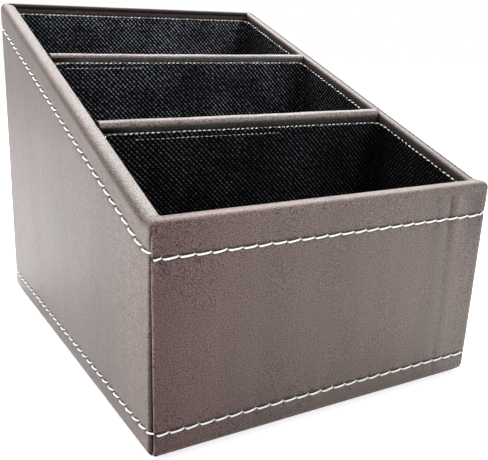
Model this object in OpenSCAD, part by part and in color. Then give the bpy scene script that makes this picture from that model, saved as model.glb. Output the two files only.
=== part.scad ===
// Three-pocket desk organizer box.
// Rigid board walls wrapped in one leather band, two leather-capped dividers, cloth-lined pockets
// and a contrast-stitched row below the rim and above the foot. Millimetres, Z up, front towards -Y.
// The origin is the middle of the footprint, on the surface that the box stands on.

/* [Box] */
// Width of the box, left to right
box_w = 122; // [90:1:200]
// Depth of the box, front to back
box_d = 149; // [135:1:220]
// Height of the front wall
front_h = 69; // [50:1:90]
// Height of the back wall
back_h = 124; // [100:1:180]
// Level stretch of the side rims behind the front wall, before the slope starts
rim_level = 1; // [0.5:0.1:10]
// Radius of the outer edges: upright corners, rim and foot
edge_r = 2.5; // [1.8:0.1:3]
// Radius of the inner edge of the rim
rim_inner_r = 0.9; // [0.5:0.1:1.2]

/* [Boards] */
// Thickness of the four wall boards
board_t = 3; // [2:0.1:5]
// Thickness of the base board
base_board_t = 3; // [2:0.1:6]
// Thickness of the two divider boards
divider_board_t = 2.5; // [1.8:0.1:4]

/* [Leather] */
// Thickness of the leather
leather_t = 1; // [0.7:0.05:1.2]
// Depth to which the leather is turned down inside the rim
rim_turn = 2.8; // [2:0.1:8]
// Width of the leather turned under the base
base_turn = 14; // [8:0.5:25]
// Radius of the top edges of the divider caps
divider_r = 1.6; // [0.8:0.1:1.8]
// Width of the slit between the two ends of the leather band
seam_gap = 0.5; // [0.3:0.05:1]
// Distance of the slit from the front face
seam_inset = 1.3; // [0.8:0.1:2.5]
// Distance below the front rim at which the slit closes
seam_top = 4; // [3:0.5:10]

/* [Pockets] */
// Clear depth of the front pocket, between the leather edges
front_pocket_d = 44; // [25:0.5:60]
// Clear depth of the middle pocket, between the leather edges
middle_pocket_d = 43.5; // [25:0.5:60]
// Thickness of the cloth-covered card that lines the pocket walls
lining_t = 1.4; // [1.2:0.1:3]
// Inner radius of the lining where it turns the pocket's corners
lining_r = 3; // [1:0.1:6]
// Thickness of the cloth-covered card on the pocket floors
floor_t = 1.5; // [0.8:0.1:4]
// Clearance around each pocket floor
floor_clearance = 0.2; // [0.1:0.05:0.8]

/* [Base] */
// Thickness of the felt under the base
felt_t = 1; // [0.6:0.1:3]
// Distance of the felt's edge from the faces of the box
felt_margin = 4; // [2.5:0.5:7]

/* [Stitching] */
// Length of one stitch and the hole after it
stitch_pitch = 4.75; // [3:0.05:8]
// Gap between neighbouring stitches
stitch_gap = 0.6; // [0.3:0.1:1.5]
// Height to which the thread stands out of the leather
thread_r = 0.4; // [0.2:0.05:0.8]
// Slant of each stitch from the line of its row
stitch_slant = 8; // [0:1:20]
// Distance of the upper row below the front and back rims
front_row_drop = 10.4; // [6:0.1:20]
// Distance of the upper row below the side rims, square to the slope
side_row_drop = 8.5; // [6:0.1:20]
// Height of the lower row above the bottom edge of the leather
lower_row_h = 7.5; // [5:0.1:20]

/* [Hidden] */
$fn = 32;

leather_color = [0.47, 0.43, 0.41];
cloth_color = [0.09, 0.09, 0.10];
board_color = [0.66, 0.60, 0.52];
thread_color = [0.95, 0.94, 0.91];
felt_color = [0.13, 0.13, 0.13];

// How far a cutting shape passes beyond the surface that it cuts
over = 1;

// Walls: leather outside, board, leather turned in
wall_t = 2 * leather_t + board_t;
divider_t = 2 * leather_t + divider_board_t;

// Heights from the standing surface: felt, leather turned under, base board
leather_z = felt_t;
board_z = leather_z + leather_t;
inside_z = board_z + base_board_t;

// Faces of the boards that look into the box
inner_x = box_w / 2 - leather_t - board_t;
inner_front_y = -box_d / 2 + leather_t + board_t;
inner_back_y = box_d / 2 - leather_t - board_t;

// Middle planes of the two dividers
front_divider_y = -box_d / 2 + wall_t + front_pocket_d + divider_t / 2;
rear_divider_y = front_divider_y + divider_t + middle_pocket_d;

// The rim runs level over the front wall, then rises to the rounded edge above the back face
slope_y = -box_d / 2 + wall_t + rim_level;
back_round = [box_d / 2 - edge_r, back_h - edge_r];
rise = back_round - [slope_y, front_h];
slope = atan2(rise[1], rise[0]) + asin(edge_r / norm(rise));

// Height of the rim's slope above the point y, moved inwards square to the slope
function slope_z(y, inset = 0) =
    front_h + (y - slope_y) * tan(slope) - inset / cos(slope);

// Point where the level rim meets the slope, both moved inwards
function rim_kink(inset) = [slope_y + inset * tan(slope / 2), front_h - inset];

// The rim's rounded end at the back face, moved inwards until nothing of the round is left
function rim_end(inset) = inset < edge_r
    ? [for (step = [0 : 6]) back_round + (edge_r - inset) * [cos((90 + slope) * (1 - step / 6)),
                                                             sin((90 + slope) * (1 - step / 6))]]
    : [[box_d / 2 - inset, slope_z(box_d / 2 - inset, inset)]];

// The rim seen from the side, moved inwards by the same distance everywhere
function rim_line(inset) = concat([rim_kink(inset)], rim_end(inset));

// Shapes that several pieces share

// Block under the rim line, extruded from x0 to x1 and standing on z0
module under_rim(inset, x0, x1, z0) {
    line = rim_line(inset);
    end_z = line[len(line) - 1][1];
    translate([x0, 0, 0])
        rotate([90, 0, 90])
            linear_extrude(x1 - x0)
                polygon(concat([[box_d / 2, z0], [-box_d / 2, z0], [-box_d / 2, front_h - inset]],
                               line, [[box_d / 2, end_z]]));
}

// Rectangle with rounded corners, from its low corner to its high corner
module rounded_rectangle(x0, x1, y0, y1, r) {
    translate([x0 + r, y0])
        square([x1 - x0 - 2 * r, y1 - y0]);
    translate([x0, y0 + r])
        square([x1 - x0, y1 - y0 - 2 * r]);
    for (x = [x0 + r, x1 - r], y = [y0 + r, y1 - r])
        translate([x, y])
            circle(r);
}

// Footprint of the box, moved inwards
module footprint(inset) {
    rounded_rectangle(-box_w / 2 + inset, box_w / 2 - inset,
                      -box_d / 2 + inset, box_d / 2 - inset, edge_r - inset);
}

// Footprint of the room between the wall boards, made smaller or larger by inset
module room(inset) {
    translate([-inner_x + inset, inner_front_y + inset])
        square([2 * (inner_x - inset), inner_back_y - inner_front_y - 2 * inset]);
}

// Ball that rounds the outer edges, with points exactly on its six extremes
module edge_ball() {
    rotate_extrude()
        polygon([for (step = [-8 : 8]) edge_r * [cos(90 * step / 8), sin(90 * step / 8)]]);
}

// Full outside of the leather: every outer edge of the box rounded alike
module band_outside() {
    front_y = -box_d / 2 + edge_r;
    foot_z = leather_z + edge_r;
    minkowski() {
        translate([-box_w / 2 + edge_r, 0, 0])
            rotate([90, 0, 90])
                linear_extrude(box_w - 2 * edge_r)
                    polygon(concat([[back_round[0], foot_z], [front_y, foot_z],
                                    [front_y, front_h - edge_r]],
                                   rim_line(edge_r)));
        edge_ball();
    }
}

// Rounds the rim's inner edge where it crosses the box: a wedge with its point in the leather
module cross_rim_cut(y, into, angle) {
    z = into < 0 ? front_h : slope_z(y);
    centre = [y + into * rim_inner_r,
              into < 0 ? front_h - rim_inner_r : slope_z(y + rim_inner_r, rim_inner_r)];
    foot = centre + rim_inner_r * [-sin(angle), cos(angle)];
    translate([-inner_x + leather_t, 0, 0])
        rotate([90, 0, 90])
            linear_extrude(2 * (inner_x - leather_t))
                difference() {
                    polygon([[y, z], [y, centre[1]], centre, foot]);
                    translate(centre)
                        circle(rim_inner_r);
                }
}

// Rounds the rim's inner edge along one side: over the level stretch, then up the slope
module side_rim_cut(side) {
    level_y = inner_front_y + leather_t;
    run = (inner_back_y - leather_t - slope_y) / cos(slope);
    mirror([side < 0 ? 1 : 0, 0, 0])
        for (stretch = [[level_y, slope_y - level_y, 0], [slope_y, run, slope]])
            translate([inner_x - leather_t, stretch[0], front_h])
                rotate([stretch[2], 0, 0])
                    rotate([90, 0, 180])
                        linear_extrude(stretch[1])
                            edge_profile();
}

// What a rounding of the rim's inner edge takes off a square edge
module edge_profile() {
    difference() {
        translate([-rim_inner_r, -rim_inner_r])
            square([rim_inner_r, rim_inner_r + over]);
        translate([-rim_inner_r, -rim_inner_r])
            circle(rim_inner_r);
    }
}

// Boards

module wall_board(x0, x1) {
    color(board_color)
        intersection() {
            under_rim(leather_t, x0, x1, board_z);
            linear_extrude(back_h)
                footprint(leather_t);
        }
}

module left_board() {
    wall_board(-box_w / 2 + leather_t, -inner_x);
}

module right_board() {
    wall_board(inner_x, box_w / 2 - leather_t);
}

module front_board() {
    color(board_color)
        translate([-inner_x, inner_front_y - board_t, board_z])
            cube([2 * inner_x, board_t, front_h - leather_t - board_z]);
}

module back_board() {
    color(board_color)
        intersection() {
            under_rim(leather_t, -inner_x, inner_x, board_z);
            translate([-inner_x, inner_back_y, board_z])
                cube([2 * inner_x, board_t, back_h]);
        }
}

module base_board() {
    color(board_color)
        translate([0, 0, board_z])
            linear_extrude(base_board_t)
                room(0);
}

// Divider board between the side boards, notched at both ends for the leather turned in there
module divider_board(y) {
    color(board_color)
        difference() {
            translate([-inner_x, y - divider_board_t / 2, inside_z])
                cube([2 * inner_x, divider_board_t, slope_z(y) - leather_t - inside_z]);
            for (side = [-1, 1])
                turned_side(side);
        }
}

// Leather turned down inside one side wall
module turned_side(side) {
    x0 = side < 0 ? -inner_x : inner_x - leather_t;
    difference() {
        under_rim(-over, x0, x0 + leather_t, inside_z);
        under_rim(rim_turn, x0 - over, x0 + leather_t + over, inside_z - over);
    }
}

module front_divider_board() {
    divider_board(front_divider_y);
}

module rear_divider_board() {
    divider_board(rear_divider_y);
}

// Leather

// One band around all four walls, turned in over the rim and under the base
module outer_cover() {
    color(leather_color)
        difference() {
            band_outside();
            // Room of the wall boards
            intersection() {
                under_rim(leather_t, -box_w / 2, box_w / 2, board_z);
                translate([0, 0, board_z])
                    linear_extrude(back_h)
                        difference() {
                            footprint(leather_t);
                            room(0);
                        }
            }
            // Inside of the box below the turned-in edge
            intersection() {
                under_rim(rim_turn, -inner_x, inner_x, board_z);
                translate([0, 0, board_z])
                    linear_extrude(back_h)
                        room(0);
            }
            // Mouth between the turned-in edges
            translate([0, 0, inside_z])
                linear_extrude(back_h)
                    room(leather_t);
            cross_rim_cut(inner_front_y + leather_t, -1, 0);
            cross_rim_cut(inner_back_y - leather_t, 1, slope);
            for (side = [-1, 1])
                side_rim_cut(side);
            // Field under the base that the leather leaves bare
            translate([0, 0, leather_z - over])
                linear_extrude(board_z - leather_z + 2 * over)
                    square([box_w - 2 * base_turn, box_d - 2 * base_turn], center = true);
            band_slit();
        }
}

// Slit where the two ends of the band meet, beside the front left corner
module band_slit() {
    translate([-box_w / 2 - over, -box_d / 2 + seam_inset, leather_z - over])
        cube([over + leather_t, seam_gap, front_h - seam_top - leather_z + over]);
}

// Leather folded over a divider board, down to the lining on both faces
module divider_cover(y) {
    half = divider_t / 2;
    top = slope_z(y);
    color(leather_color)
        translate([-inner_x + leather_t, 0, 0])
            rotate([90, 0, 90])
                linear_extrude(2 * (inner_x - leather_t))
                    difference() {
                        translate([y, 0])
                            union() {
                                for (side = [-1, 1])
                                    translate([side * (half - divider_r), top - divider_r])
                                        circle(divider_r);
                                translate([-half + divider_r, 0])
                                    square([2 * (half - divider_r), top]);
                                translate([-half, 0])
                                    square([divider_t, top - divider_r]);
                            }
                        translate([y - divider_board_t / 2, -over])
                            square([divider_board_t, top - leather_t + over]);
                        polygon([[-box_d, slope_z(-box_d, rim_turn)],
                                 [box_d, slope_z(box_d, rim_turn)],
                                 [box_d, -box_d], [-box_d, -box_d]]);
                    }
}

module front_divider_cover() {
    divider_cover(front_divider_y);
}

module rear_divider_cover() {
    divider_cover(rear_divider_y);
}

// Pockets

// Lining that runs round the four walls of a pocket, between the boards at y0 and y1
module pocket_lining(y0, y1) {
    color(cloth_color)
        intersection() {
            translate([0, 0, inside_z])
                linear_extrude(back_h)
                    difference() {
                        rounded_rectangle(-inner_x, inner_x, y0, y1, lining_r + lining_t);
                        rounded_rectangle(-inner_x + lining_t, inner_x - lining_t,
                                          y0 + lining_t, y1 - lining_t, lining_r);
                    }
            under_rim(rim_turn, -box_w / 2, box_w / 2, 0);
        }
}

module pocket_floor(y0, y1) {
    edge = lining_t + floor_clearance;
    color(cloth_color)
        translate([0, 0, inside_z])
            linear_extrude(floor_t)
                rounded_rectangle(-inner_x + edge, inner_x - edge, y0 + edge, y1 - edge,
                                  lining_r - floor_clearance);
}

// Board faces at the two ends of each pocket
front_pocket = [inner_front_y, front_divider_y - divider_board_t / 2];
middle_pocket = [front_divider_y + divider_board_t / 2, rear_divider_y - divider_board_t / 2];
rear_pocket = [rear_divider_y + divider_board_t / 2, inner_back_y];

module front_pocket_lining() {
    pocket_lining(front_pocket[0], front_pocket[1]);
}

module middle_pocket_lining() {
    pocket_lining(middle_pocket[0], middle_pocket[1]);
}

module rear_pocket_lining() {
    pocket_lining(rear_pocket[0], rear_pocket[1]);
}

module front_pocket_floor() {
    pocket_floor(front_pocket[0], front_pocket[1]);
}

module middle_pocket_floor() {
    pocket_floor(middle_pocket[0], middle_pocket[1]);
}

module rear_pocket_floor() {
    pocket_floor(rear_pocket[0], rear_pocket[1]);
}

// Base

// Felt over the turned-under leather, pressed up against the board inside it
module base_felt() {
    field = [box_w - 2 * base_turn, box_d - 2 * base_turn];
    color(felt_color)
        difference() {
            union() {
                linear_extrude(felt_t)
                    rounded_rectangle(-box_w / 2 + felt_margin, box_w / 2 - felt_margin,
                                      -box_d / 2 + felt_margin, box_d / 2 - felt_margin, edge_r);
                translate([-field[0] / 2, -field[1] / 2, 0])
                    cube([field[0], field[1], board_z]);
            }
            translate([-field[0] / 2 + felt_t, -field[1] / 2 + felt_t, -over])
                cube([field[0] - 2 * felt_t, field[1] - 2 * felt_t, over + leather_t]);
        }
}

// Stitching

// One stitch along X on the plane y = 0, rounded at both ends, standing out towards -Y
module stitch(length) {
    straight = length - 2 * thread_r;
    rotate([180, 90, 0])
        rotate_extrude(angle = 180)
            intersection() {
                union() {
                    square([2 * thread_r, straight], center = true);
                    for (end = [-1, 1])
                        translate([0, end * straight / 2])
                            circle(thread_r);
                }
                translate([0, -length])
                    square(2 * length);
            }
}

// Stitches at an even pitch from a to b, both [along, height] on a face seen from outside
module stitch_row(a, b) {
    run = norm(b - a);
    count = max(1, round(run / stitch_pitch));
    pitch = run / count;
    heading = atan2(b[1] - a[1], b[0] - a[0]);
    for (i = [0 : count - 1]) {
        middle = a + (b - a) * (i + 0.5) / count;
        translate([middle[0], 0, middle[1]])
            rotate([0, -heading - stitch_slant, 0])
                stitch(pitch - stitch_gap);
    }
}

// Turns the front face's frame to the face at the given angle, at its distance from the middle
module on_face(angle, distance) {
    rotate([0, 0, angle])
        translate([0, -distance, 0])
            children();
}

front_end = box_w / 2 - edge_r;
side_end = box_d / 2 - edge_r;

// Row parallel to the rim on all four walls
module upper_stitching() {
    kink = rim_kink(side_row_drop)[0];
    level = rim_kink(side_row_drop)[1];
    high = slope_z(side_end, side_row_drop);
    back_row_z = back_h - front_row_drop;
    color(thread_color) {
        on_face(0, box_d / 2)
            stitch_row([-front_end, front_h - front_row_drop], [front_end, front_h - front_row_drop]);
        on_face(180, box_d / 2)
            stitch_row([-front_end, back_row_z], [front_end, back_row_z]);
        on_face(90, box_w / 2) {
            stitch_row([-side_end, level], [kink, level]);
            stitch_row([kink, level], [side_end, high]);
        }
        on_face(-90, box_w / 2) {
            stitch_row([-side_end, high], [-kink, level]);
            stitch_row([-kink, level], [side_end, level]);
        }
    }
}

// Level row above the foot on all four walls
module lower_stitching() {
    z = leather_z + lower_row_h;
    color(thread_color)
        for (face = [0 : 3]) {
            end = face % 2 == 0 ? front_end : side_end;
            on_face(90 * face, face % 2 == 0 ? box_d / 2 : box_w / 2)
                stitch_row([-end, z], [end, z]);
        }
}

front_board();
back_board();
left_board();
right_board();
base_board();
front_divider_board();
rear_divider_board();
outer_cover();
front_divider_cover();
rear_divider_cover();
front_pocket_lining();
middle_pocket_lining();
rear_pocket_lining();
front_pocket_floor();
middle_pocket_floor();
rear_pocket_floor();
upper_stitching();
lower_stitching();
base_felt();
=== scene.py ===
"""Desk organizer box with three pockets, dressed for a studio picture.

The boards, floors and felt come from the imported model. The leather wrap, its stitching, the caps of
the dividers and the cloth linings are modelled here over the same solids, in metres, front towards -Y.
Lengths named _mm are millimetres, and every mesh is scaled to metres when it is made.
"""

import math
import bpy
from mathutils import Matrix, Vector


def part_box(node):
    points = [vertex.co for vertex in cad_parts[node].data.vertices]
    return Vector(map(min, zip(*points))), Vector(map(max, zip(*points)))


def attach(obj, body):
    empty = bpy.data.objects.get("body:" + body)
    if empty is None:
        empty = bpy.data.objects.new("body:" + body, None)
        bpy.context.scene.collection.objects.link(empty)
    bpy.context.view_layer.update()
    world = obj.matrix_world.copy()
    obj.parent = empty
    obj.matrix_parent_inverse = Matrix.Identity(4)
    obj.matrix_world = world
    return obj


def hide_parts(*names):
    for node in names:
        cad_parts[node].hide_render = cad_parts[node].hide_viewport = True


bl_info = {
    "name": "Desk organizer box",
    "version": (1, 0, 0),
    "blender": (4, 5, 0),
    "location": "3D View > Sidebar > Organizer",
    "description": "Makes the leather, stitching and cloth of a three-pocket desk organizer box",
    "category": "Object",
}

import bmesh
import bpy
import numpy as np
from bpy.props import (
    FloatProperty,
    FloatVectorProperty,
    IntProperty,
    PointerProperty,
)
from mathutils import Euler, Vector, noise

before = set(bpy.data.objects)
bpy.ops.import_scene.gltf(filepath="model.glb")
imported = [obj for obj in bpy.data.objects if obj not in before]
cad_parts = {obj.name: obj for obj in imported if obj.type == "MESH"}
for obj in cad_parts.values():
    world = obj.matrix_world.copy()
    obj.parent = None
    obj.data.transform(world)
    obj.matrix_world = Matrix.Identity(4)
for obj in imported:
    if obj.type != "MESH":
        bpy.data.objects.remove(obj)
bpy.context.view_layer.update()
BODY = "root"
MM = 0.001


def node_box(name):
    """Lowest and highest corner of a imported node, in millimetres."""
    low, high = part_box(name)
    return np.array(low) / MM, np.array(high) / MM


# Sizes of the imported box, in millimetres
COVER_LOW, COVER_HIGH = node_box("outer_cover")
HALF_W = float(COVER_HIGH[0])
HALF_D = float(COVER_HIGH[1])
FOOT_Z = float(COVER_LOW[2])
BACK_H = float(COVER_HIGH[2])
LEATHER = HALF_W - float(node_box("right_board")[1][0])
INNER_X = float(node_box("right_board")[0][0])
FRONT_H = float(node_box("front_board")[1][2]) + LEATHER
WALL = HALF_W - INNER_X + LEATHER
INSIDE_Z = float(node_box("base_board")[1][2])
# Sizes that the nodes' boxes don't give: rounded edges, turned leather, lining and stitches
EDGE_R = 2.5
RIM_INNER_R = 0.9
RIM_LEVEL = 1.0
RIM_TURN = 2.8
BASE_TURN = 14.0
LINING_T = 1.4
LINING_R = 3.0
STITCH_STEP = 4.75

# Straight lengths of the walls between their rounded corners, and the length of one corner
RUN_X = 2 * (HALF_W - EDGE_R)
RUN_Y = 2 * (HALF_D - EDGE_R)
CORNER = EDGE_R * math.pi / 2
TURNS = np.cumsum([0, RUN_X, CORNER, RUN_Y, CORNER, RUN_X, CORNER, RUN_Y, CORNER])
(FRONT_START, FRONT_END, RIGHT_START, RIGHT_END, BACK_START, BACK_END, LEFT_START, LEFT_END, ROUND) = TURNS

# Where the level rim of the front ends, and the angle of the sloped rim behind it
SLOPE_Y = -HALF_D + WALL + RIM_LEVEL
BACK_ROUND = np.array([HALF_D - EDGE_R, BACK_H - EDGE_R])
RISE = BACK_ROUND - [SLOPE_Y, FRONT_H]
SLOPE = math.atan2(RISE[1], RISE[0]) + math.asin(EDGE_R / math.hypot(*RISE))


def smooth_step(low, high, value):
    """0 at low, 1 at high, and a smooth change between them."""
    t = np.clip((np.asarray(value, float) - low) / (high - low), 0, 1)
    return t * t * (3 - 2 * t)


def rim_z(y, depth=0.0):
    """Height of the rim line above y, moved inwards by depth."""
    slope = FRONT_H + (y - SLOPE_Y) * math.tan(SLOPE) - depth / math.cos(SLOPE)
    return np.maximum(FRONT_H - depth, slope)


def colour_setting(name, description, colour):
    """A colour that a user can change."""
    return FloatVectorProperty(
        name=name, description=description, default=colour, subtype="COLOR", size=3, min=0, max=1)


def length_setting(name, description, usual_mm, least_mm, most_mm):
    """A length that a user can change."""
    return FloatProperty(
        name=name, description=description, default=usual_mm * MM, min=least_mm * MM, max=most_mm * MM,
        subtype="DISTANCE", unit="LENGTH")


class LeatherSettings(bpy.types.PropertyGroup):
    """Sizes and colours of the leather."""

    colour: colour_setting("Leather", "Colour of the leather", (0.0770, 0.0525, 0.0445))
    # Painted shade: the redder, darker colour at the left of the front
    shaded_warm_colour: colour_setting(
        "Warm part", "Colour of the leather where it is redder, at the left of the front",
        (0.0690, 0.0375, 0.0360))
    # Painted highlights: the greyer colour of the divider caps and of the left rim
    grey_highlight_colour: colour_setting(
        "Grey highlight part", "Colour of the leather on the divider caps and the left rim", (0.0850, 0.0690, 0.0635))
    column_step: length_setting("Mesh step", "Distance between mesh columns along a wall", 0.72, 0.4, 5)
    valley: length_setting("Stitch valley", "Depth to which the thread pulls the leather in", 0.22, 0, 1)
    hole: length_setting("Needle hole", "Depth of the dent at each needle hole", 0.38, 0, 1)
    ripple: length_setting("Unevenness", "Height of the soft unevenness of the leather", 0.09, 0, 1)


class StitchSettings(bpy.types.PropertyGroup):
    """Sizes and colours of the stitching."""

    colour: colour_setting("Thread", "Colour of the thread", (0.97, 0.96, 0.94))
    radius: length_setting("Thread radius", "Half the thickness of the thread", 0.29, 0.1, 1)
    gap: length_setting("Gap", "Gap between neighbouring stitches", 0.66, 0, 2)
    wander: FloatProperty(
        name="Wander", description="Largest turn of a stitch away from its usual slant",
        default=math.radians(2.2), min=0, max=0.5, subtype="ANGLE", unit="ROTATION")
    seed: IntProperty(name="Seed", description="Seed of the small differences between stitches", default=7)


class LiningSettings(bpy.types.PropertyGroup):
    """Sizes and colours of the cloth in the pockets."""

    colour: colour_setting(
        "Cloth", "Colour of the cloth between its raised threads", (0.0012, 0.0012, 0.0016))
    # Painted highlights: the pale colour of the raised knots on the black cloth
    knot_highlight_colour: colour_setting(
        "Raised threads", "Colour of the cloth's raised threads", (0.42, 0.455, 0.51))
    across: length_setting("Warp spacing", "Distance between upright threads", 0.926, 0.3, 3)
    down: length_setting("Weft spacing", "Distance between level threads", 0.901, 0.3, 3)


class StageSettings(bpy.types.PropertyGroup):
    """The camera and the floor."""

    camera_place: FloatVectorProperty(
        name="Camera", description="Place of the camera", subtype="TRANSLATION", unit="LENGTH", size=3,
        default=(-0.12617, -0.21485, 0.11209))
    camera_turn: FloatVectorProperty(
        name="Camera turn", description="Turn of the camera", subtype="EULER", unit="ROTATION", size=3,
        default=tuple(math.radians(a) for a in (73.133, -1.0088, -27.4756)))
    lens: FloatProperty(name="Lens", description="Focal length of the lens in millimetres", default=48.74)
    floor_colour: colour_setting("Floor", "Colour of the floor", (0.86, 0.86, 0.86))


# Node trees and finishes


class Nodes:
    """A node tree with short calls that add nodes and join them."""

    def __init__(self, tree):
        self.tree = tree

    def add(self, kind, settings=None, **inputs):
        """A new node with its settings, and with its inputs set or joined by name."""
        node = self.tree.nodes.new(kind)
        for key, value in (settings or {}).items():
            setattr(node, key, value)
        for key, value in inputs.items():
            self.put(node.inputs[key.replace("_", " ")], value)
        return node

    def put(self, socket, value):
        """Joins an input to the socket that it is given, or sets it to the value."""
        if isinstance(value, bpy.types.NodeSocket):
            self.tree.links.new(value, socket)
        else:
            socket.default_value = value

    def fill(self, node, *values):
        """Sets or joins the first inputs of a node in their order, and gives its first output."""
        for socket, value in zip(node.inputs, values):
            self.put(socket, value)
        return node.outputs[0]

    def math(self, operation, *values):
        return self.fill(self.add("ShaderNodeMath", {"operation": operation}), *values)

    def plus(self, a, b):
        return self.math("ADD", a, b)

    def minus(self, a, b):
        return self.math("SUBTRACT", a, b)

    def times(self, product, *others):
        for other in others:
            product = self.math("MULTIPLY", product, other)
        return product

    def larger(self, a, b):
        return self.math("MAXIMUM", a, b)

    def smaller(self, a, b):
        return self.math("MINIMUM", a, b)


class Shader(Nodes):
    """A material's node tree with short calls for what the finishes use."""

    def __init__(self, name):
        self.material = bpy.data.materials.new(name)
        self.material.use_nodes = True
        super().__init__(self.material.node_tree)
        self.tree.nodes.clear()
        self.out = self.tree.nodes.new("ShaderNodeOutputMaterial")

    def mix(self, factor, a, b, blend="MIX"):
        node = self.add("ShaderNodeMix", {"data_type": "RGBA", "blend_type": blend})
        self.put(node.inputs[0], factor)
        self.put(node.inputs[6], colour4(a))
        self.put(node.inputs[7], colour4(b))
        return node.outputs[2]

    def ramp(self, value, low, high, to_low=0.0, to_high=1.0):
        node = self.add("ShaderNodeMapRange", {"interpolation_type": "SMOOTHSTEP"})
        return self.fill(node, value, low, high, to_low, to_high)

    def varied(self, tone, pattern, low, high, spread):
        """A tone made up to a share darker and paler by a pattern between low and high."""
        return self.times(tone, self.ramp(pattern, low, high, 1 - spread, 1 + spread))

    def noise(self, where, scale, detail=2.0, rough=0.5):
        node = self.add("ShaderNodeTexNoise", Vector=where, Scale=scale, Detail=detail, Roughness=rough)
        return node.outputs[0]

    def stretched(self, where, scale):
        return self.add("ShaderNodeMapping", {"vector_type": "POINT"}, Vector=where, Scale=scale).outputs[0]

    def parts(self, vector):
        return self.add("ShaderNodeSeparateXYZ", Vector=vector).outputs

    def attribute(self, name):
        return self.add("ShaderNodeAttribute", {"attribute_name": name}).outputs["Fac"]

    def uv(self, name):
        return self.add("ShaderNodeUVMap", {"uv_map": name}).outputs[0]

    def place(self):
        """The point's place in the box, in metres."""
        return self.add("ShaderNodeTexCoord").outputs["Object"]

    def grey(self, value):
        return self.add("ShaderNodeCombineColor", Red=value, Green=value, Blue=value).outputs[0]

    def bump(self, height, distance, strength=1.0):
        return self.add("ShaderNodeBump", Height=height, Distance=distance, Strength=strength).outputs[0]

    def surface(self, **inputs):
        node = self.add("ShaderNodeBsdfPrincipled")
        for key, value in inputs.items():
            socket = node.inputs[key.replace("_", " ")]
            self.put(socket, colour4(value) if socket.type == "RGBA" else value)
        self.tree.links.new(node.outputs[0], self.out.inputs[0])
        return self.material


def colour4(value):
    """A colour with its fourth number, or a socket as it is."""
    if isinstance(value, bpy.types.NodeSocket):
        return value
    return (*value[:3], 1.0)


def make_leather(name, rows):
    """Taupe grained leather with painted light and shade: darker in its folds and, with rows, round the
    needle holes.
    """
    look = bpy.context.scene.organizer_leather
    s = Shader(name)
    place = s.place()
    cells = s.add("ShaderNodeTexVoronoi", {"feature": "F1"}, Vector=place, Scale=3400.0, Randomness=1.0)
    grain = cells.outputs[0]
    fine = s.noise(place, 3300.0, 1.0, 0.6)
    broad = s.noise(place, 22.0, 3.0, 0.55)
    streaks = s.noise(s.stretched(place, (260.0, 260.0, 14.0)), 1.0, 2.0, 0.5)
    bands = s.noise(s.stretched(place, (75.0, 75.0, 9.0)), 1.0, 1.0, 0.5)
    x, y, _ = s.parts(place)
    # Painted shade makes the front warmer and duller towards the left, with an uneven change. The other walls
    # are plain
    across = s.plus(x, s.times(s.minus(s.noise(place, 35.0, 2.0), 0.5), 0.03))
    behind = s.ramp(y, -0.0745, -0.0715)
    plain = s.larger(s.ramp(across, -0.080, 0.012), behind)
    plain = s.larger(plain, s.ramp(x, -0.0604, -0.0599, 1.0, 0.0))
    front_reflection_shade = s.larger(s.ramp(across, -0.072, -0.025, 0.58, 0.95), behind)
    colour = s.mix(plain, look.shaded_warm_colour, look.colour if rows else look.grey_highlight_colour)
    if rows:
        # Painted highlight: the left rim turns towards the greyer colour
        colour = s.mix(s.attribute("rim_wear"), colour, look.grey_highlight_colour)
    pores = s.ramp(fine, 0.24, 0.76, 0.06, 1.94)
    tone = s.varied(pores, bands, 0.3, 0.7, 0.09)
    tone = s.varied(tone, broad, 0.3, 0.7, 0.05)
    tone = s.varied(tone, streaks, 0.3, 0.7, 0.03)
    tone = s.varied(tone, grain, 0.0, 0.6, 0.18)
    # Painted shade round the needle holes and along the rows, and painted light and shade from the attribute,
    # change both the colour and the reflection
    open_leather = s.minus(1.0, hole_shade(s)) if rows else 1.0
    fold = s.attribute("fold_shade")
    tone = s.times(tone, open_leather, s.minus(1.0, fold))
    colour = s.mix(1.0, colour, s.grey(tone), "MULTIPLY")
    glints = s.smaller(s.times(pores, 1.05), 1.0)
    shine = s.times(s.ramp(fold, 0.3, 0.9, 1.0, 0.0), glints, front_reflection_shade, open_leather)
    height = s.plus(s.plus(s.times(grain, 0.5), s.times(fine, 0.8)), s.times(streaks, 0.5))
    rough = s.larger(s.ramp(s.plus(fine, s.times(broad, 0.4)), 0.4, 1.0, 0.34, 0.46), fold)
    return s.surface(Base_Color=colour, Roughness=rough, Specular_IOR_Level=0.44,
                     Specular_Tint=s.grey(shine), Normal=s.bump(height, 0.00010, 0.85))


def hole_shade(s):
    """Painted shade: nearly 1 in a needle hole of the wrap, less along a row of stitches, and 0 on open
    leather.
    """
    phase = s.attribute("row_phase")
    offset = s.attribute("row_offset")
    along = s.times(s.minus(s.math("FRACT", s.plus(phase, 0.5)), 0.5), STITCH_STEP)
    near = s.plus(bell_power(s, along, 0.55), bell_power(s, offset, 0.50))
    hole = s.times(s.math("EXPONENT", s.times(near, -1.0)), 0.96)
    band = s.math("EXPONENT", s.times(bell_power(s, offset, 0.75), -1.0))
    return s.larger(hole, s.times(band, 0.42))


def bell_power(s, value, width):
    """The power of a bell curve of this width."""
    return s.math("POWER", s.times(value, 1.0 / width), 2.0)


def make_thread():
    """White sewing thread with its twist."""
    look = bpy.context.scene.organizer_stitch
    s = Shader("white_thread")
    along, around, _ = s.parts(s.uv("twist"))
    turn = s.times(s.plus(s.times(along, 5.0), s.times(around, 2.0)), 2 * math.pi)
    wave = s.math("SINE", turn)
    fuzz = s.noise(s.place(), 5200.0, 2.0, 0.6)
    # The grooves of the twist are painted a little darker, as painted shade
    colour = s.mix(s.ramp(wave, -1.0, 0.2), tuple(c * 0.94 for c in look.colour), look.colour)
    normal = s.bump(s.plus(wave, fuzz), 0.00005, 0.5)
    return s.surface(Base_Color=colour, Roughness=0.55, Specular_IOR_Level=0.5, Normal=normal)


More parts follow.
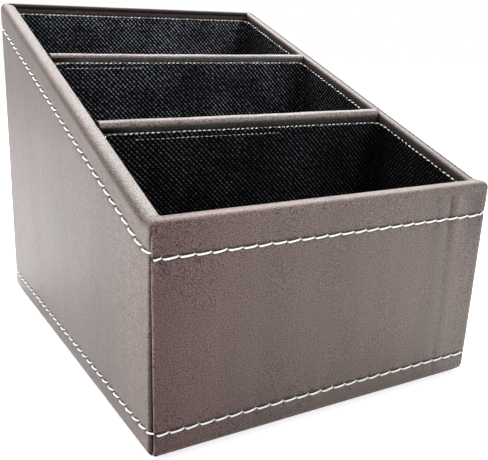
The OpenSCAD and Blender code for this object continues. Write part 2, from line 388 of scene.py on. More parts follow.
def make_cloth(name, on_wall):
    """Black plain-woven cloth. On a wall it follows the map "cloth", whose unit is a millimetre."""
    look = bpy.context.scene.organizer_lining
    s = Shader(name)
    where = s.uv("cloth") if on_wall else s.place()
    scale = 1.0 if on_wall else 1.0 / MM
    lean = s.attribute("weave_lean") if on_wall else 0.6
    light = s.attribute("weave_light") if on_wall else 0.4
    right, up, _ = s.parts(where)
    shift = s.times(s.minus(s.noise(where, 0.22 * scale, 1.0), 0.5), 0.5)
    p = s.plus(s.times(right, scale * MM / look.across), shift)
    q = s.plus(s.times(up, scale * MM / look.down), shift)
    # A knot of thread at every other crossing, longer along one diagonal where the weave leans
    falling = weave_power(s, s.minus(p, q), s.plus(0.21, s.times(lean, -0.04)))
    rising = weave_power(s, s.plus(p, q), s.plus(0.21, s.times(lean, 0.09)))
    knot = s.math("EXPONENT", s.times(s.plus(falling, rising), -1.0))
    thread = s.noise(where, 0.75 * scale, 2.0, 0.7)
    broad = s.noise(where, 0.06 * scale, 2.0, 0.5)
    uneven = s.times(s.ramp(thread, 0.35, 0.72, 0.15, 2.2), s.ramp(broad, 0.3, 0.7, 0.5, 1.4))
    # Painted highlights: the raised knots are painted pale, scaled by the painted share of light
    bright = s.smaller(s.times(knot, uneven, light), 1.6)
    colour = s.mix(bright, look.colour, look.knot_highlight_colour)
    upright = s.math("ABSOLUTE", s.math("SINE", s.times(p, math.pi)))
    normal = s.bump(s.plus(knot, s.times(upright, 0.25)), 0.00022, 0.8)
    rough = s.ramp(knot, 0.0, 1.0, 1.0, 0.5)
    return s.surface(Base_Color=colour, Roughness=rough, Specular_IOR_Level=0.04, Normal=normal)


def weave_power(s, diagonal, width):
    """The power of a bell curve of this width, which repeats along a diagonal of the weave."""
    off = s.minus(s.math("FRACT", s.times(diagonal, 0.5)), 0.5)
    return s.math("POWER", s.math("DIVIDE", off, width), 2.0)


def make_edge_thread():
    """Thread floats along the folded edge of the cloth, painted pale as painted highlights."""
    s = Shader("cloth_edge_thread")
    colour = s.mix(s.ramp(s.attribute("tone"), -0.2, 0.7), (0.12, 0.12, 0.13), (0.86, 0.86, 0.84))
    normal = s.bump(s.noise(s.place(), 6000.0, 2.0, 0.6), 0.00005, 0.6)
    return s.surface(Base_Color=colour, Roughness=0.5, Specular_IOR_Level=0.5, Normal=normal)


def make_card():
    """Grey-brown pressed card of the boards."""
    s = Shader("pressed_card")
    fibres = s.noise(s.stretched(s.place(), (900.0, 240.0, 900.0)), 1.0, 4.0, 0.6)
    colour = s.mix(s.ramp(fibres, 0.35, 0.7), (0.30, 0.25, 0.19), (0.43, 0.37, 0.29))
    return s.surface(Base_Color=colour, Roughness=0.9, Normal=s.bump(fibres, 0.0001, 0.6))


def make_felt():
    """Black pressed felt under the box."""
    s = Shader("base_felt_fibres")
    place = s.place()
    fibres = s.noise(place, 1400.0, 5.0, 0.75)
    broad = s.noise(place, 90.0, 2.0)
    colour = s.mix(s.ramp(fibres, 0.35, 0.75), (0.010, 0.010, 0.011), (0.040, 0.039, 0.040))
    normal = s.bump(s.plus(fibres, s.times(broad, 0.4)), 0.0004, 0.9)
    return s.surface(Base_Color=colour, Roughness=0.97, Sheen_Weight=0.25, Sheen_Roughness=0.6, Normal=normal)


# Meshes


def make_object(name, points_mm, faces, material, smooth=True, edges=()):
    """An object at the origin with its place in its mesh, from points in millimetres."""
    mesh = bpy.data.meshes.new(name)
    mesh.from_pydata((np.asarray(points_mm, float).reshape(-1, 3) * MM).tolist(), list(edges), faces)
    mesh.polygons.foreach_set("use_smooth", [smooth] * len(mesh.polygons))
    if material:
        mesh.materials.append(material)
    mesh.update()
    piece = bpy.data.objects.new(name, mesh)
    bpy.context.scene.collection.objects.link(piece)
    return piece


def ring_faces(columns, rows):
    """Quads of a grid that is closed along its columns and along its rows."""
    i, j = (a.ravel() for a in np.meshgrid(np.arange(columns), np.arange(rows), indexing="ij"))
    i2, j2 = (i + 1) % columns, (j + 1) % rows
    return np.stack([i * rows + j, i2 * rows + j, i2 * rows + j2, i * rows + j2], 1).tolist()


def set_attribute(mesh, name, values):
    """Gives every point of the mesh a value that its finish or its node tree reads."""
    layer = mesh.attributes.new(name, "FLOAT", "POINT")
    layer.data.foreach_set("value", np.asarray(values, np.float32).ravel())


def tidy(piece, distance_mm):
    """Merges doubled points and turns every face outwards."""
    bm = bmesh.new()
    bm.from_mesh(piece.data)
    bmesh.ops.remove_doubles(bm, verts=bm.verts, dist=distance_mm * MM)
    bmesh.ops.dissolve_degenerate(bm, edges=bm.edges, dist=distance_mm * MM * 0.5)
    bmesh.ops.recalc_face_normals(bm, faces=bm.faces)
    if bm.calc_volume(signed=True) < 0:
        bmesh.ops.reverse_faces(bm, faces=bm.faces)
    bm.to_mesh(piece.data)
    bm.free()
    piece.data.update()


def made_plain(piece):
    """Turns what the piece's modifiers make into its plain mesh and removes them."""
    graph = bpy.context.evaluated_depsgraph_get()
    made = piece.evaluated_get(graph)
    mesh = bpy.data.meshes.new_from_object(made, preserve_all_data_layers=True, depsgraph=graph)
    old = piece.data
    piece.modifiers.clear()
    piece.data = mesh
    mesh.name = piece.name
    bpy.data.meshes.remove(old)
    return piece


def dress(piece, slot, *nodes):
    """Rides the piece on the box and hides the nodes that it stands for. Its slot is not used."""
    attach(piece, BODY)
    if nodes:
        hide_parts(*nodes)


def repaint(node, material):
    """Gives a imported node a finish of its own."""
    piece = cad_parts[node]
    piece.data.materials.clear()
    piece.data.materials.append(material)


# The leather's skin, as a place round the box and a height


def round_the_box(place):
    """(middle of the corner round, outward direction, share of side wall) at places along the wall."""
    place = np.mod(np.asarray(place, float), ROUND)
    x0, y0 = HALF_W - EDGE_R, HALF_D - EDGE_R
    centre = np.empty(place.shape + (2,))
    angle = np.empty(place.shape)
    legs = (
        (FRONT_START, FRONT_END, (-x0, -y0), (1, 0), 270, 0),
        (FRONT_END, RIGHT_START, (x0, -y0), (0, 0), 270, 90),
        (RIGHT_START, RIGHT_END, (x0, -y0), (0, 1), 0, 0),
        (RIGHT_END, BACK_START, (x0, y0), (0, 0), 0, 90),
        (BACK_START, BACK_END, (x0, y0), (-1, 0), 90, 0),
        (BACK_END, LEFT_START, (-x0, y0), (0, 0), 90, 90),
        (LEFT_START, LEFT_END, (-x0, y0), (0, -1), 180, 0),
        (LEFT_END, ROUND + 1, (-x0, -y0), (0, 0), 180, 90),
    )
    for start, end, corner, run, first, turn in legs:
        here = (place >= start) & (place < end)
        along = (place[here] - start)[:, None]
        centre[here] = np.array(corner) + along * np.array(run)
        angle[here] = np.radians(first + turn * along[:, 0] / CORNER)
    out = np.stack([np.cos(angle), np.sin(angle)], -1)
    side = np.abs(np.mod(angle / (math.pi / 2), 2) - 1)
    return centre, out, side


def rim_up(y):
    """Direction that the rim faces above y: up over the front wall, then square to the slope."""
    tilt = SLOPE * smooth_step(SLOPE_Y - 1.0, SLOPE_Y + 2.2, y)
    return np.stack([np.zeros_like(tilt), -np.sin(tilt), np.cos(tilt)], -1)


def wall_z(centre, side, depth):
    """Height of the wall at a depth below its own rim."""
    end = np.where(centre[..., 1] < 0, FRONT_H, BACK_H) - depth
    return side * rim_z(centre[..., 1], depth) + (1 - side) * end


# Folded edge of the leather beside the front left corner, seen from above, from the side wall to the front
SEAM_FOLD = np.array([
    (0.0, 2.5), (0.03, 2.25), (0.10, 2.0), (0.22, 1.78), (0.42, 1.60), (0.70, 1.48),
    (1.0, 1.42), (1.35, 1.39), (1.70, 1.36), (1.88, 1.24), (1.86, 1.08), (1.58, 0.99),
    (1.14, 0.95), (0.80, 0.90), (0.57, 0.79), (0.45, 0.62), (0.42, 0.44), (0.48, 0.26),
    (0.62, 0.12), (0.84, 0.03), (1.16, 0.0), (1.60, 0.0), (2.0, 0.0), (2.5, 0.0)])
SEAM_COLUMNS = np.linspace(0, 1, len(SEAM_FOLD))
# How far the seam leans to the right at the foot and at the rim
SEAM_LEAN = (0.65, -0.55)


def seam_shift(place, z):
    """How far the fold at the seam moves the rounded corner in plan, at the heights z."""
    centre, out, _ = round_the_box(place)
    share = (np.mod(place, ROUND) - LEFT_END) / CORNER
    fold = np.stack([np.interp(share, SEAM_COLUMNS, SEAM_FOLD[:, k]) for k in (0, 1)], -1)
    fold += [-HALF_W, -HALF_D]
    lean = np.interp(z, [FOOT_Z, FRONT_H], SEAM_LEAN)
    fold[..., 0] += lean * smooth_step(0.08, 0.30, share) * (1 - smooth_step(0.80, 0.96, share))
    open_by = (1 - smooth_step(FRONT_H - 4.6, FRONT_H - 0.9, z)) * ((share > 0) & (share < 1))
    return (fold - centre - EDGE_R * out) * open_by[..., None]


def wall_surface(place, z):
    """Points of the upright wall at places round the box, at the heights z, and the way that they face."""
    centre, out, _ = round_the_box(place)
    plan = centre + EDGE_R * out + seam_shift(place, z)
    return np.concatenate([plan, np.broadcast_to(z, place.shape)[..., None]], -1), out


# Needle holes as places round the box


def holes_along(first, runs, last):
    """Needle holes from the first ones along runs, each with its end and its usual step, to the last one."""
    holes = list(first)
    for end, step in runs:
        start = holes[-1]
        count = max(1, round((end - start) / step))
        holes += list(start + (end - start) * np.arange(1, count + 1) / count)
    return np.array(holes + [last])


# The row below the rim runs from the seam round the box and back to the seam
UPPER_HOLES = holes_along(
    (LEFT_END + CORNER * 0.66 - ROUND, FRONT_START + 0.5),
    ((FRONT_START + 115.1, 4.775), (FRONT_END + CORNER / 2, 4.5), (RIGHT_END + CORNER / 2, 4.42),
     (BACK_END + CORNER / 2, 4.75), (LEFT_START + 9.0, 4.4), (LEFT_START + 140.2, 4.374)),
    LEFT_END + CORNER * 0.30)
# The row above the foot starts and ends just past the seam
LOWER_HOLES = holes_along(
    (FRONT_START - 0.5, FRONT_START + 3.1),
    ((FRONT_START + 117.1, 4.75), (FRONT_END + CORNER / 2, 4.5), (RIGHT_END + CORNER / 2, 4.8),
     (BACK_END + CORNER / 2, 4.75), (LEFT_START + 4.3, 4.8), (LEFT_START + 143.0, 4.78)),
    ROUND - 0.5)

# Places round the box with the depth of the upper row below the rim
UPPER_DEPTHS = np.array([
    (0, 9.95), (FRONT_END, 10.85), (RIGHT_START, 8.4), (RIGHT_END, 9.0), (BACK_START, 10.4), (BACK_END, 10.4),
    (LEFT_START, 9.1), (LEFT_END - 14, 8.0), (LEFT_END - 2, 8.3), (LEFT_END + 0.45 * CORNER, 8.9),
    (LEFT_END + 0.52 * CORNER, 9.8), (ROUND, 9.9)])
# Places round the box with the height of the lower row above the foot of the leather
LOWER_HEIGHTS = np.array([
    (0, 7.7), (FRONT_END, 7.1), (RIGHT_START, 7.3), (RIGHT_END, 7.6), (BACK_START, 7.5), (BACK_END, 7.5),
    (LEFT_START, 7.3), (LEFT_END - 8, 7.35), (LEFT_END, 7.85), (ROUND, 7.85)])


def upper_depth(place):
    """Depth of the upper row below the rim, along the box."""
    return np.interp(np.mod(place, ROUND), UPPER_DEPTHS[:, 0], UPPER_DEPTHS[:, 1])


def lower_height(place):
    """Height of the lower row above the foot of the leather, along the box."""
    return np.interp(np.mod(place, ROUND), LOWER_HEIGHTS[:, 0], LOWER_HEIGHTS[:, 1])


def stitch_phase(place, holes):
    """How many stitches have passed at a place, a whole number at each hole."""
    place = np.mod(place, ROUND)
    return np.interp(place, holes, np.arange(len(holes)), left=0, right=len(holes) - 1)


def bell(value, width):
    """1 at zero, falling to nothing in a few widths on both sides."""
    return np.exp(-(np.asarray(value) / width) ** 2)


def row_dents(place, offset, holes):
    """How far a row of stitches draws the leather in, by the place and the offset from the row."""
    look = bpy.context.scene.organizer_leather
    phase = stitch_phase(place, holes)
    from_hole = (phase - np.round(phase)) * STITCH_STEP
    valley = (look.valley / MM) * bell(offset, 0.95)
    hole = (look.hole / MM) * bell(from_hole, 0.62) * bell(offset, 0.55)
    pucker = bell(from_hole, 1.25) * (bell(offset - 1.5, 0.95) + bell(offset + 1.5, 0.95))
    swell = (1 - bell(from_hole, 1.4)) * (bell(offset - 1.9, 1.0) + bell(offset + 1.9, 1.0))
    return valley + hole + 0.05 * pucker - 0.045 * swell


# The leather wrap

# Distances of the mesh rows from a row of stitches, and the value that stands for no row nearby
ROW_STEPS = (3.4, 2.6, 1.95, 1.45, 1.05, 0.72, 0.42, 0.16)
FAR = 99.0
# Offset from a row that the finish reads on open leather
OPEN_LEATHER = 9.0
# Mesh rows on the rounded outer edge of the rim, from its top to the wall
ROUND_ROWS = np.linspace(0, 1, 9)
# Upright creases beside the front right corner: place from the middle, width and rise of the leather
CREASES = ((37.2, 1.6, -0.08), (43.4, 1.3, -0.25), (46.8, 1.3, 0.15), (52.0, 2.0, -0.13), (55.4, 2.2, -0.21))


def wrap_places():
    """Places of the mesh columns round the box, closer together in the corners."""
    step = bpy.context.scene.organizer_leather.column_step / MM
    walls = zip(TURNS[0::2], TURNS[1::2])
    places = [np.linspace(start, end, round((end - start) / step), endpoint=False) for start, end in walls]
    corners = zip(TURNS[1:7:2], TURNS[2:8:2])
    places += [np.linspace(start, end, 10, endpoint=False) for start, end in corners]
    # One column for each point of the seam's fold, and more of them at the mitre of the back left corner
    places.append(LEFT_END + CORNER * SEAM_COLUMNS[:-1])
    places.append(BACK_END + CORNER / 2 + np.array([-0.42, -0.28, -0.14, 0.14, 0.28, 0.42]))
    return np.unique(np.round(np.concatenate(places), 6))


def unit(vectors):
    """The vectors with a length of 1."""
    return vectors / np.linalg.norm(vectors, axis=-1, keepdims=True)


def wrap_grid():
    """The wrap's closed grid [column, row], with what the dents and the finish need."""
    place = wrap_places()
    centre, out, side = round_the_box(place)
    out3 = np.concatenate([out, np.zeros(out.shape[:1] + (1,))], -1)
    limit_in = np.array([HALF_W - WALL, HALF_D - WALL])
    inner = np.clip(centre, -limit_in, limit_in)
    up = rim_up(centre[:, 1])
    rows, kinds, offset_up, offset_low = [], [], [], []

    def add(points, kind, to_upper=FAR, to_lower=FAR):
        rows.append(points)
        kinds.append(kind)
        offset_up.append(np.full(place.shape, to_upper))
        offset_low.append(np.full(place.shape, to_lower))

    def at(plan, z):
        return np.concatenate([plan, np.broadcast_to(z, place.shape)[:, None]], -1)

    # Inside face of the turned leather and its rounded edge
    for depth in (RIM_TURN, 2.1, 1.4):
        add(at(inner, rim_z(inner[:, 1], depth)), "inside")
    for turn in np.linspace(0, math.pi / 2, 5):
        reach = RIM_INNER_R * (1 - math.cos(turn))
        plan = inner + reach * unit(centre - inner + out)
        add(at(plan, rim_z(plan[:, 1], RIM_INNER_R * (1 - math.sin(turn)))), "rim")
    inner_top = rows[-1]
    ball = at(centre, rim_z(centre[:, 1], EDGE_R))
    ball[:, 2] = np.where(centre[:, 1] < SLOPE_Y, FRONT_H - EDGE_R, ball[:, 2])
    outer_top = ball + EDGE_R * up
    for share in (0.25, 0.5, 0.75):
        add(inner_top + (outer_top - inner_top) * share, "rim")
    # Rounded outer edge of the rim
    swing = np.arccos(np.clip((up * out3).sum(-1), -1, 1))
    for share in ROUND_ROWS:
        a = np.sin((1 - share) * swing) / np.sin(swing)
        b = np.sin(share * swing) / np.sin(swing)
        rounded = ball + EDGE_R * (a[:, None] * up + b[:, None] * out3)
        rounded[:, :2] += seam_shift(place, rounded[:, 2]) * b[:, None] ** 2
        add(rounded, "round")
    # Outer wall: rows parallel to the upper stitching, then level
    stitch_at = upper_depth(place)
    beside = [-step for step in ROW_STEPS] + list(reversed(ROW_STEPS))
    top_depth = stitch_at - ROW_STEPS[0]
    for share in (0.3, 0.65):
        z = wall_z(centre, side, EDGE_R + (top_depth - EDGE_R) * share)
        add(wall_surface(place, z)[0], "wall")
    for step in beside:
        z = wall_z(centre, side, stitch_at + step)
        add(wall_surface(place, z)[0], "wall", to_upper=-step)
    above = wall_z(centre, side, stitch_at + ROW_STEPS[0])
    row_z = FOOT_Z + lower_height(place)
    below = row_z + ROW_STEPS[0]
    for share in np.arange(1, 18) / 18:
        add(wall_surface(place, above + (below - above) * share)[0], "wall")
    for step in beside:
        add(wall_surface(place, row_z - step)[0], "wall", to_lower=-step)
    lowest = row_z - ROW_STEPS[0]
    add(wall_surface(place, (lowest + FOOT_Z + EDGE_R) / 2)[0], "wall")
    # Rounded foot and the leather turned under the base
    edge, _ = wall_surface(place, np.full(place.shape, FOOT_Z + EDGE_R))
    for turn in np.linspace(0, math.pi / 2, 7):
        plan = centre + (edge[:, :2] - centre) * math.cos(turn)
        add(at(plan, FOOT_Z + EDGE_R * (1 - math.sin(turn))), "foot")
    for reach in (6.0, BASE_TURN):
        limit = np.array([HALF_W - reach, HALF_D - reach])
        add(at(np.clip(centre, -limit, limit), FOOT_Z), "under")
    # Back of the leather, against the boards
    inside = LEATHER - 0.04
    shell = EDGE_R - inside
    add(at(np.clip(centre, -limit, limit), FOOT_Z + inside), "back")
    add(at(centre + shell * out * 0.3, FOOT_Z + inside), "back")
    for z in (FOOT_Z + EDGE_R, below, above, wall_z(centre, side, EDGE_R)):
        add(at(centre + shell * out, z), "back")
    add(ball + shell * unit(up + out3), "back")
    add(ball + shell * up, "back")
    inner_back = np.clip(centre, -(limit_in + inside), limit_in + inside)
    for depth in (inside, RIM_TURN):
        add(at(inner_back, rim_z(inner_back[:, 1], depth)), "back")
    return place, np.stack(rows, 1), kinds, np.stack(offset_up, 1), np.stack(offset_low, 1)


def mitre_cut(points, width):
    """Depth of the fold over the rim's back left corner at each point, from 0 to 1, and the way across it."""
    x, y, z = np.moveaxis(points, -1, 0)
    across = (x + y - (HALF_D - HALF_W)) / math.sqrt(2)
    on_corner = (x < -(HALF_W - WALL) + 0.02) & (y > HALF_D - WALL - 0.02)
    return bell(across, width) * on_corner * smooth_step(BACK_H - 3.4, BACK_H - 2.2, z), across


def soft_noise(points, scale_mm, seed):
    """Smooth noise from -1 to 1 at every point."""
    shift = Vector((seed * 17.3, seed * 5.1, seed * 9.7))
    flat = points.reshape(-1, 3) / scale_mm
    return np.array([noise.noise(Vector(p) + shift) for p in flat]).reshape(points.shape[:-1])


class WrapSkin:
    """The wrap's grid of points, with how far each one is pushed out and how it is finished."""

    def __init__(self):
        place, self.grid, self.kinds, self.to_upper, self.to_lower = wrap_grid()
        self.around = np.repeat(place[:, None], len(self.kinds), 1)
        self.turn = (self.around - LEFT_END) / CORNER
        self.shown = self.rows_of("rim", "round", "wall", "foot")
        self.walls = self.rows_of("wall")
        self.in_upper = np.abs(self.to_upper) < FAR
        self.in_lower = np.abs(self.to_lower) < FAR

    def rows_of(self, *kinds):
        """True for the rows of the grid that are of these kinds."""
        return np.array([kind in kinds for kind in self.kinds])

    def creases(self):
        """Rise of the leather in the upright creases, which are strongest above the stitching."""
        x, _, height = np.moveaxis(self.grid, -1, 0)
        in_front = (self.around > 60) & (self.around < FRONT_END)
        fade = self.walls * in_front * (0.25 + 0.75 * smooth_step(FRONT_H - 24, FRONT_H - 9, height))
        leaning = x - 0.02 * (FRONT_H - height)
        return fade * sum(rise * bell(leaning - middle, width) for middle, width, rise in CREASES)

    def push(self):
        """How far each point stands out from the plain wrap, in millimetres."""
        height = self.grid[..., 2]
        push = -np.where(self.in_upper, row_dents(self.around, self.to_upper, UPPER_HOLES), 0)
        push -= np.where(self.in_lower, row_dents(self.around, self.to_lower, LOWER_HOLES), 0)
        uneven = soft_noise(self.grid, 16.0, 1) + 0.35 * soft_noise(self.grid * [1, 1, 0.45], 4.5, 2)
        ripple = bpy.context.scene.organizer_leather.ripple / MM
        push += np.where(self.walls, 1.0, 0.35) * ripple * uneven
        push += self.creases()
        # The faces swell a little between the stitch rows
        share = np.clip((height - FOOT_Z) / (FRONT_H - FOOT_Z), 0, 1)
        push += 0.048 * self.walls * np.sin(math.pi * share) * ~(self.in_upper | self.in_lower)
        at_seam = (self.turn > 0.15) & (self.turn < 0.8)
        push *= np.where(at_seam, 0.25, 1.0)
        fold, across = mitre_cut(self.grid, 0.45)
        ridge = mitre_cut(self.grid, 0.9)[0] * (across < -0.3)
        return (push - 0.9 * fold + 0.12 * ridge) * self.shown

    def rim_highlight_share(self):
        """Share of painted highlight on each row: full on top of the rim, and less down its rounded edge."""
        share = self.rows_of("rim").astype(float)
        share[self.rows_of("round")] = np.clip(1 - 1.7 * ROUND_ROWS, 0, 1)
        return share

    def shade(self):
        """Painted shade at each point, as the share by which it is darker. It is below 0 where painted light
        makes the leather paler.
        """
        x, y, height = np.moveaxis(self.grid, -1, 0)
        around, turn = self.around, self.turn
        # Painted shade makes the open seam dark in its groove, and a painted highlight makes it pale along
        # its folded edge
        opening = self.rows_of("wall", "foot") * (1 - smooth_step(FRONT_H - 5.5, FRONT_H - 2.0, height))
        groove = 0.35 * smooth_step(0.04, 0.16, turn) + 0.60 * smooth_step(0.17, 0.26, turn)
        seam = opening * groove * (1 - smooth_step(0.61, 0.67, turn))
        # Painted shade in the fold over the rim's back left corner
        mitre = np.minimum(1.8 * mitre_cut(self.grid, 0.55)[0], 0.99) * self.shown
        # Painted shade: the turned leather is darker inside the box and where it rolls under the walls
        inside = 0.62 * self.rows_of("inside")
        under = 0.93 * self.rows_of("foot", "under") * np.where(np.abs(x) > HALF_W - 2, 1.0, 0.5)
        under = under * smooth_step(FOOT_Z + 1.1 * EDGE_R, FOOT_Z + 0.45 * EDGE_R, height)
        # Painted shade: the right rim is darker along its outer edge, and the back rim is dark towards the
        # inside
        rim = self.rows_of("rim", "round")
        right = rim * (around > RIGHT_START) * (around < RIGHT_END)
        right = right * (0.35 + 0.45 * smooth_step(HALF_W - 4.2, HALF_W - 1.5, x))
        back = rim * (around > BACK_START) * (around < BACK_END)
        back = back * (0.55 + 0.33 * smooth_step(HALF_D - 2.5, HALF_D - 4.5, y))
        shade = np.maximum.reduce(np.broadcast_arrays(seam, mitre, inside, under, right, back))
        # Painted light: paler where the creases rise and darker where they sink, and a painted highlight
        # along the seam's folded edge
        painted_light = 2.1 * self.creases() + 1.9 * opening * bell(turn - 0.73, 0.05)
        # Painted light: the left wall is paler towards the seam, and painted highlights make the rims of the
        # front and the left wall paler
        painted_light += 0.5 * self.walls * smooth_step(LEFT_END - 34, LEFT_END - 5, around) * (turn < 0.1)
        painted_light += 0.30 * self.rim_highlight_share() * ((around < FRONT_END) | (around > LEFT_START))
        return shade - painted_light * (shade < 0.3)

    def finish(self):
        """What the leather's finish reads at each point, by the name of the attribute."""
        upper_phase = stitch_phase(self.around, UPPER_HOLES)
        lower_phase = stitch_phase(self.around, LOWER_HOLES)
        upper_offset = np.where(self.in_upper, self.to_upper, OPEN_LEATHER)
        return {
            "fold_shade": self.shade(),
            # Painted highlight: the left rim takes the greyer colour
            "rim_wear": 0.8 * self.rim_highlight_share() * (self.around > LEFT_START),
            "row_phase": np.where(self.in_lower, lower_phase, upper_phase),
            "row_offset": np.abs(np.where(self.in_lower, self.to_lower, upper_offset)),
        }


class ORGANIZER_OT_leather_wrap(bpy.types.Operator):
    """Makes the leather band round the walls, drawn in at its stitches and folded at its seam"""

    bl_idname = "organizer.leather_wrap"
    bl_label = "Leather wrap"

    def execute(self, context):
        skin = WrapSkin()
        columns, rows = skin.grid.shape[:2]
        leather = make_leather("taupe_leather", True)
        piece = make_object("leather_wrap", skin.grid, ring_faces(columns, rows), leather)
        mesh = piece.data
        normals = np.empty(len(mesh.vertices) * 3, np.float32)
        mesh.vertex_normals.foreach_get("vector", normals)
        normals = normals.reshape(columns, rows, 3).astype(float)
        wall = skin.kinds.index("wall")
        if (normals[:, wall] * skin.grid[:, wall] * [1, 1, 0]).sum() < 0:
            normals = -normals
        points = skin.grid + normals * skin.push()[..., None]
        mesh.vertices.foreach_set("co", (points * MM).ravel())
        for name, values in skin.finish().items():
            set_attribute(mesh, name, values)
        mesh.update()
        # The wider merging also closes the slivers at the front left corner
        tidy(piece, 0.02)
        dress(piece, "leather", "outer_cover")
        return {"FINISHED"}


# Rows of like pieces on a path

ROW_INPUTS = {
    "Path": "NodeSocketGeometry",
    "Piece": "NodeSocketObject",
    "Piece length": "NodeSocketFloat",
    "Gap": "NodeSocketFloat",
    "Wander": "NodeSocketFloat",
    "Seed": "NodeSocketInt",
    "Finish": "NodeSocketMaterial",
}
# Points along a small piece that lies along X: place in millimetres, and radius as a share of its thread's.
# A stitch rises out of one hole, lies slanted on the leather and dives into the next
STITCH = np.array([
    (-2.12, -0.24, -0.62, 0.80), (-2.06, -0.27, -0.22, 0.90), (-1.88, -0.29, 0.10, 1.02),
    (-1.45, -0.25, 0.25, 1.05), (-0.70, -0.14, 0.30, 1.03), (0.20, 0.0, 0.30, 1.0),
    (0.95, 0.13, 0.27, 0.98), (1.50, 0.25, 0.22, 0.93), (1.88, 0.36, 0.08, 0.85),
    (2.04, 0.42, -0.22, 0.76), (2.10, 0.44, -0.62, 0.70)])
STITCH_LENGTH = 4.2
# The same for a thread float on the fold of the cloth and on a drawn thread, with radii in millimetres
EDGE_THREAD = np.array([
    (-0.66, 0, -0.16, 0.05), (-0.52, 0, 0.06, 0.18), (-0.2, 0, 0.18, 0.23),
    (0.2, 0, 0.18, 0.23), (0.52, 0, 0.06, 0.18), (0.66, 0, -0.16, 0.05)])
DRAWN_THREAD = np.array([
    (-0.62, 0, -0.08, 0.04), (-0.3, 0, 0.05, 0.13), (0.3, 0, 0.05, 0.13), (0.62, 0, -0.08, 0.04)])
FLOAT_LENGTH = 1.24


def row_tree(name, spread_tone=False):
    """A tree that lays one copy of a small piece on each edge of a path, turned to the path's outside."""
    tree = bpy.data.node_groups.new(name, "GeometryNodeTree")
    for label, kind in ROW_INPUTS.items():
        tree.interface.new_socket(label, in_out="INPUT", socket_type=kind)
    tree.interface.new_socket("Row", in_out="OUTPUT", socket_type="NodeSocketGeometry")
    n = Nodes(tree)
    given = n.add("NodeGroupInput").outputs
    ends = n.add("GeometryNodeInputMeshEdgeVertices").outputs
    span = n.add("ShaderNodeVectorMath", {"operation": "SUBTRACT"})
    span = n.fill(span, ends["Position 2"], ends["Position 1"])
    outward = n.add("GeometryNodeInputNamedAttribute", {"data_type": "FLOAT_VECTOR"}, Name="outward")
    tilt = n.add("GeometryNodeInputNamedAttribute", {"data_type": "FLOAT"}, Name="tilt")
    keep = n.add("GeometryNodeCaptureAttribute", {"domain": "EDGE"})
    for label, kind in (("Span", "VECTOR"), ("Outward", "VECTOR"), ("Tilt", "FLOAT")):
        keep.capture_items.new(kind, label)
    n.put(keep.inputs["Geometry"], given["Path"])
    n.put(keep.inputs["Span"], span)
    n.put(keep.inputs["Outward"], outward.outputs["Attribute"])
    n.put(keep.inputs["Tilt"], tilt.outputs["Attribute"])
    kept = keep.outputs
    points = n.fill(n.add("GeometryNodeMeshToPoints", {"mode": "EDGES"}), kept["Geometry"])
    # Each copy points along its edge, faces outwards and is turned by its tilt and by chance
    align = "FunctionNodeAlignRotationToVector"
    along = n.add(align, {"axis": "X"}, Vector=kept["Span"]).outputs[0]
    facing = n.add(align, {"axis": "Z", "pivot_axis": "X"}, Rotation=along, Vector=kept["Outward"]).outputs[0]
    chance = n.add("FunctionNodeRandomValue", {"data_type": "FLOAT"}, Seed=given["Seed"])
    n.put(chance.inputs[2], n.times(given["Wander"], -1.0))
    n.put(chance.inputs[3], given["Wander"])
    turn = n.add("ShaderNodeCombineXYZ", Z=n.plus(chance.outputs[1], kept["Tilt"])).outputs[0]
    turn = n.fill(n.add("FunctionNodeEulerToRotation"), turn)
    turned = n.add("FunctionNodeRotateRotation", {"rotation_space": "LOCAL"}, Rotation=facing, Rotate_By=turn)
    length = n.add("ShaderNodeVectorMath", {"operation": "LENGTH"}, Vector=kept["Span"]).outputs["Value"]
    stretch = n.math("DIVIDE", n.minus(length, given["Gap"]), given["Piece length"])
    size = n.add("ShaderNodeCombineXYZ", X=stretch, Y=1.0, Z=0.75).outputs[0]
    source = n.add("GeometryNodeObjectInfo", Object=given["Piece"]).outputs["Geometry"]
    copies = n.add("GeometryNodeInstanceOnPoints", Points=points, Instance=source,
                   Rotation=turned.outputs[0], Scale=size).outputs[0]
    row = n.fill(n.add("GeometryNodeRealizeInstances"), copies)
    if spread_tone:
        island = n.add("GeometryNodeInputMeshIsland").outputs["Island Index"]
        tone = n.add("FunctionNodeRandomValue", {"data_type": "FLOAT"}, ID=island, Seed=given["Seed"])
        row = n.add("GeometryNodeStoreNamedAttribute", {"data_type": "FLOAT", "domain": "POINT"},
                    Geometry=row, Name="tone", Value=tone.outputs[1]).outputs[0]
    paint = n.add("GeometryNodeSetMaterial", Geometry=row, Material=given["Finish"])
    n.add("NodeGroupOutput", Row=paint.outputs[0])
    return tree


def lay_row(name, points_mm, outward, tilt, tree, **inputs):
    """A path through the points, with what the tree lays on it, as one plain mesh."""
    edges = [(i, i + 1) for i in range(len(points_mm) - 1)]
    piece = make_object(name, points_mm, [], None, edges=edges)
    set_attribute(piece.data, "tilt", np.broadcast_to(tilt, len(points_mm)))
    layer = piece.data.attributes.new("outward", "FLOAT_VECTOR", "POINT")
    outward = np.broadcast_to(outward, (len(points_mm), 3))
    layer.data.foreach_set("vector", np.array(outward, np.float32).ravel())
    modifier = piece.modifiers.new(name, "NODES")
    modifier.node_group = tree
    sockets = [item for item in tree.interface.items_tree if item.item_type == "SOCKET"]
    ids = {item.name: item.identifier for item in sockets if item.in_out == "INPUT"}
    for label, value in inputs.items():
        modifier[ids[label.replace("_", " ")]] = value
    return made_plain(piece)


def rod_faces(rings, sides):
    """Faces of a closed rod whose points go round it ring by ring."""
    faces = []
    for i in range(rings - 1):
        for k in range(sides):
            k2 = (k + 1) % sides
            faces.append((i * sides + k, i * sides + k2, (i + 1) * sides + k2, (i + 1) * sides + k))
    faces.append(tuple(range(sides - 1, -1, -1)))
    faces.append(tuple((rings - 1) * sides + k for k in range(sides)))
    return faces


